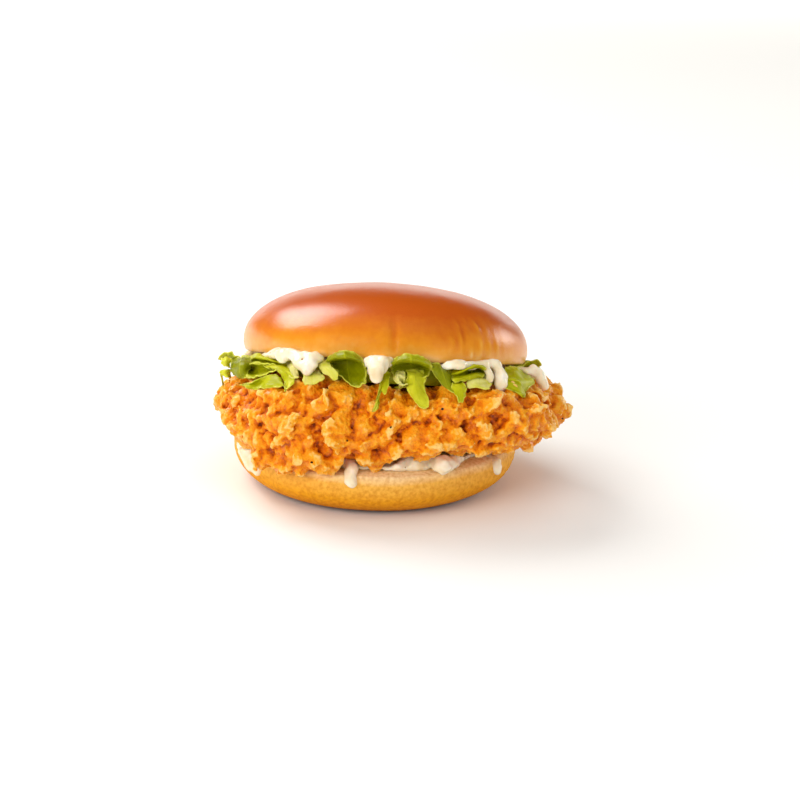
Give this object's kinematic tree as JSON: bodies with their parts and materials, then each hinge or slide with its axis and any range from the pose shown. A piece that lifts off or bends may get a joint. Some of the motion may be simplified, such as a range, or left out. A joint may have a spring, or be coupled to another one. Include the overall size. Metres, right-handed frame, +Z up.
{
  "type": "crispy chicken sandwich",
  "caption": "Crispy breaded chicken fillet in a glossy round bun, with torn lettuce leaves and creamy sauce dripping at the sides; the fillet sticks out past the bun.",
  "frame": {"origin": "centre of the heel's flat underside", "axes": "+Z up out of the heel, +X towards the fillet's long right tip, -Y towards the shown front"},
  "size_m": [0.1347, 0.1196, 0.0749],
  "materials": {
    "baked_heel": "matte baked bread, golden tan with fine pores",
    "creamy_sauce": "thick glossy cream sauce",
    "fried_crust": "rough craggy fried crust with a thin shine of oil",
    "lettuce_leaf": "crisp green leaf, satin, paler at its edges",
    "glazed_crown": "egg-glazed brown crust, soft gloss"
  },
  "bodies": {
    "root": {"bun_heel": "baked_heel", "sauce_lower": "creamy_sauce", "chicken_fillet": "fried_crust", "lettuce": "lettuce_leaf", "sauce_upper": "creamy_sauce", "bun_crown": "glazed_crown"}
  },
  "joints": []
}
